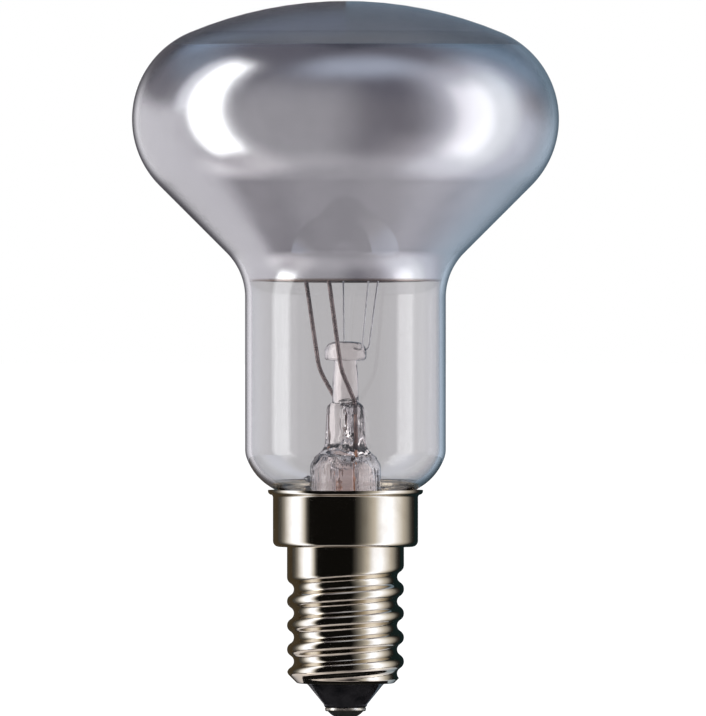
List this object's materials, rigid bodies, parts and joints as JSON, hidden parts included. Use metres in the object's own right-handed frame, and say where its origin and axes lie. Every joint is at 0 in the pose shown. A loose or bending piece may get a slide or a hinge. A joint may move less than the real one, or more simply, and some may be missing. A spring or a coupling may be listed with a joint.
{
  "type": "reflector bulb",
  "caption": "Incandescent reflector bulb: mirrored mushroom head with a frosted face, clear neck over a pinched glass stem, and a small stepped screw cap.",
  "frame": {"origin": "lowest point of the solder tip, on the bulb's axis", "axes": "+Z along the bulb's axis from the centre contact to the frosted face; the picture looks along +Y with +X to the right"},
  "size_m": [0.05, 0.05, 0.0841],
  "materials": {
    "clear_glass": "clear, glossy; the face above the mirror is frosted on its inside",
    "mirror": "bright, seen through the glass",
    "stem_glass": "clear, glossy",
    "tungsten": "dull grey coil",
    "nickel_wire": "drawn wire, slightly tarnished",
    "copper_clad_wire": "reddish where it is sealed in the glass",
    "copper_wire": "drawn copper",
    "molybdenum_wire": "thin drawn wire",
    "cement": "matt, baked brown",
    "nickel_plate": "bright nickel plate on pressed brass",
    "black_glass": "glossy black pressed glass",
    "brass": "satin stamped plate",
    "solder": "smooth solidified solder"
  },
  "bodies": {
    "root": {"glass_envelope": "clear_glass", "mirror_film": "mirror", "stem_press": "stem_glass", "exhaust_tube": "stem_glass", "glass_arbor": "stem_glass", "filament": "tungsten", "inner_lead_front": "nickel_wire", "inner_lead_rear": "nickel_wire", "seal_wire_front": "copper_clad_wire", "seal_wire_rear": "copper_clad_wire", "outer_lead_centre": "copper_wire", "outer_lead_side": "copper_wire", "support_wire_1": "molybdenum_wire", "support_wire_2": "molybdenum_wire", "support_wire_3": "molybdenum_wire", "cap_cement": "cement", "cap_shell": "nickel_plate", "cap_insulator": "black_glass", "contact_plate": "brass", "tip_solder": "solder", "side_solder": "solder"}
  },
  "joints": []
}
